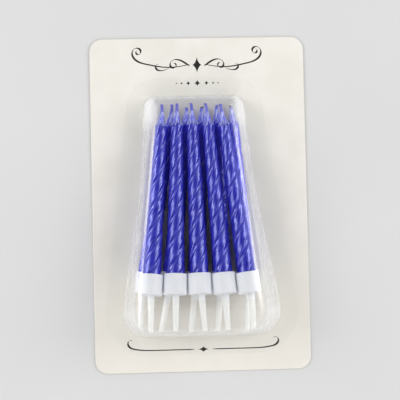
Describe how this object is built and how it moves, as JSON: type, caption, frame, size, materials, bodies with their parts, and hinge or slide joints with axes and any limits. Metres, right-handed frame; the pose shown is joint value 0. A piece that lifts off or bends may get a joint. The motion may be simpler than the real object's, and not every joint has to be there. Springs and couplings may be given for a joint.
{
  "type": "spiral birthday candle set",
  "caption": "Carded set of tapered, spirally twisted birthday candles with wicks, each in a spiked cup holder, under a clear peel-off blister on a rounded paperboard card.",
  "frame": {"origin": "centre of the card's back face, which lies on the table", "axes": "+X right across the card, +Y towards the wick ends, +Z out of the card's front face"},
  "size_m": [0.068, 0.1054, 0.018],
  "materials": {
    "card": "uncoated",
    "film": "clear",
    "wax": "waxy",
    "wick": "waxed",
    "holder": "moulded"
  },
  "bodies": {
    "card": {"backing_card": "card"},
    "blister": {"blister": "film"},
    "front_holder_1": {"holder_front_1": "holder"},
    "front_candle_1": {"candle_front_1": "wax", "wick_front_1": "wick"},
    "front_holder_2": {"holder_front_2": "holder"},
    "front_candle_2": {"candle_front_2": "wax", "wick_front_2": "wick"},
    "front_holder_3": {"holder_front_3": "holder"},
    "front_candle_3": {"candle_front_3": "wax", "wick_front_3": "wick"},
    "front_holder_4": {"holder_front_4": "holder"},
    "front_candle_4": {"candle_front_4": "wax", "wick_front_4": "wick"},
    "front_holder_5": {"holder_front_5": "holder"},
    "front_candle_5": {"candle_front_5": "wax", "wick_front_5": "wick"},
    "back_holder_1": {"holder_back_1": "holder"},
    "back_candle_1": {"candle_back_1": "wax", "wick_back_1": "wick"},
    "back_holder_2": {"holder_back_2": "holder"},
    "back_candle_2": {"candle_back_2": "wax", "wick_back_2": "wick"},
    "back_holder_3": {"holder_back_3": "holder"},
    "back_candle_3": {"candle_back_3": "wax", "wick_back_3": "wick"},
    "back_holder_4": {"holder_back_4": "holder"},
    "back_candle_4": {"candle_back_4": "wax", "wick_back_4": "wick"},
    "back_holder_5": {"holder_back_5": "holder"},
    "back_candle_5": {"candle_back_5": "wax", "wick_back_5": "wick"}
  },
  "joints": [
    {"name": "blister_peel", "type": "hinge", "parent": "card", "child": "blister", "pos_m": [0, 0.03996, 0.0008], "axis": [-1, 0, 0], "range_deg": [0, 100]},
    {"name": "holder_front_1_lift", "type": "slide", "parent": "card", "child": "front_holder_1", "axis": [0, 0, 1], "range_m": [0, 0.012]},
    {"name": "candle_front_1_pull", "type": "slide", "parent": "front_holder_1", "child": "front_candle_1", "axis": [0.0892, 0.9903, -0.1064], "range_m": [0, 0.006]},
    {"name": "holder_front_2_lift", "type": "slide", "parent": "card", "child": "front_holder_2", "axis": [0, 0, 1], "range_m": [0, 0.012]},
    {"name": "candle_front_2_pull", "type": "slide", "parent": "front_holder_2", "child": "front_candle_2", "axis": [0.0371, 0.9936, -0.1064], "range_m": [0, 0.006]},
    {"name": "holder_front_3_lift", "type": "slide", "parent": "card", "child": "front_holder_3", "axis": [0, 0, 1], "range_m": [0, 0.012]},
    {"name": "candle_front_3_pull", "type": "slide", "parent": "front_holder_3", "child": "front_candle_3", "axis": [-0.015, 0.9942, -0.1064], "range_m": [0, 0.006]},
    {"name": "holder_front_4_lift", "type": "slide", "parent": "card", "child": "front_holder_4", "axis": [0, 0, 1], "range_m": [0, 0.012]},
    {"name": "candle_front_4_pull", "type": "slide", "parent": "front_holder_4", "child": "front_candle_4", "axis": [-0.0671, 0.9921, -0.1064], "range_m": [0, 0.006]},
    {"name": "holder_front_5_lift", "type": "slide", "parent": "card", "child": "front_holder_5", "axis": [0, 0, 1], "range_m": [0, 0.012]},
    {"name": "candle_front_5_pull", "type": "slide", "parent": "front_holder_5", "child": "front_candle_5", "axis": [-0.1192, 0.9871, -0.1064], "range_m": [0, 0.006]},
    {"name": "holder_back_1_lift", "type": "slide", "parent": "card", "child": "back_holder_1", "axis": [0, 0, 1], "range_m": [0, 0.012]},
    {"name": "candle_back_1_pull", "type": "slide", "parent": "back_holder_1", "child": "back_candle_1", "axis": [0.1703, 0.9847, -0.0355], "range_m": [0, 0.006]},
    {"name": "holder_back_2_lift", "type": "slide", "parent": "card", "child": "back_holder_2", "axis": [0, 0, 1], "range_m": [0, 0.012]},
    {"name": "candle_back_2_pull", "type": "slide", "parent": "back_holder_2", "child": "back_candle_2", "axis": [0.1122, 0.993, -0.0355], "range_m": [0, 0.006]},
    {"name": "holder_back_3_lift", "type": "slide", "parent": "card", "child": "back_holder_3", "axis": [0, 0, 1], "range_m": [0, 0.012]},
    {"name": "candle_back_3_pull", "type": "slide", "parent": "back_holder_3", "child": "back_candle_3", "axis": [0.0541, 0.9979, -0.0355], "range_m": [0, 0.006]},
    {"name": "holder_back_4_lift", "type": "slide", "parent": "card", "child": "back_holder_4", "axis": [0, 0, 1], "range_m": [0, 0.012]},
    {"name": "candle_back_4_pull", "type": "slide", "parent": "back_holder_4", "child": "back_candle_4", "axis": [-0.004, 0.9994, -0.0355], "range_m": [0, 0.006]},
    {"name": "holder_back_5_lift", "type": "slide", "parent": "card", "child": "back_holder_5", "axis": [0, 0, 1], "range_m": [0, 0.012]},
    {"name": "candle_back_5_pull", "type": "slide", "parent": "back_holder_5", "child": "back_candle_5", "axis": [-0.0621, 0.9974, -0.0355], "range_m": [0, 0.006]}
  ],
  "couplings": [
    {"joint": "holder_front_1_lift", "follows": "blister_peel", "m_per_rad": 0.006875},
    {"joint": "candle_front_1_pull", "follows": "blister_peel", "m_per_rad": 0.0034375},
    {"joint": "holder_front_2_lift", "follows": "blister_peel", "m_per_rad": 0.006875},
    {"joint": "candle_front_2_pull", "follows": "blister_peel", "m_per_rad": 0.0034375},
    {"joint": "holder_front_3_lift", "follows": "blister_peel", "m_per_rad": 0.006875},
    {"joint": "candle_front_3_pull", "follows": "blister_peel", "m_per_rad": 0.0034375},
    {"joint": "holder_front_4_lift", "follows": "blister_peel", "m_per_rad": 0.006875},
    {"joint": "candle_front_4_pull", "follows": "blister_peel", "m_per_rad": 0.0034375},
    {"joint": "holder_front_5_lift", "follows": "blister_peel", "m_per_rad": 0.006875},
    {"joint": "candle_front_5_pull", "follows": "blister_peel", "m_per_rad": 0.0034375},
    {"joint": "holder_back_1_lift", "follows": "blister_peel", "m_per_rad": 0.006875},
    {"joint": "candle_back_1_pull", "follows": "blister_peel", "m_per_rad": 0.0034375},
    {"joint": "holder_back_2_lift", "follows": "blister_peel", "m_per_rad": 0.006875},
    {"joint": "candle_back_2_pull", "follows": "blister_peel", "m_per_rad": 0.0034375},
    {"joint": "holder_back_3_lift", "follows": "blister_peel", "m_per_rad": 0.006875},
    {"joint": "candle_back_3_pull", "follows": "blister_peel", "m_per_rad": 0.0034375},
    {"joint": "holder_back_4_lift", "follows": "blister_peel", "m_per_rad": 0.006875},
    {"joint": "candle_back_4_pull", "follows": "blister_peel", "m_per_rad": 0.0034375},
    {"joint": "holder_back_5_lift", "follows": "blister_peel", "m_per_rad": 0.006875},
    {"joint": "candle_back_5_pull", "follows": "blister_peel", "m_per_rad": 0.0034375}
  ]
}
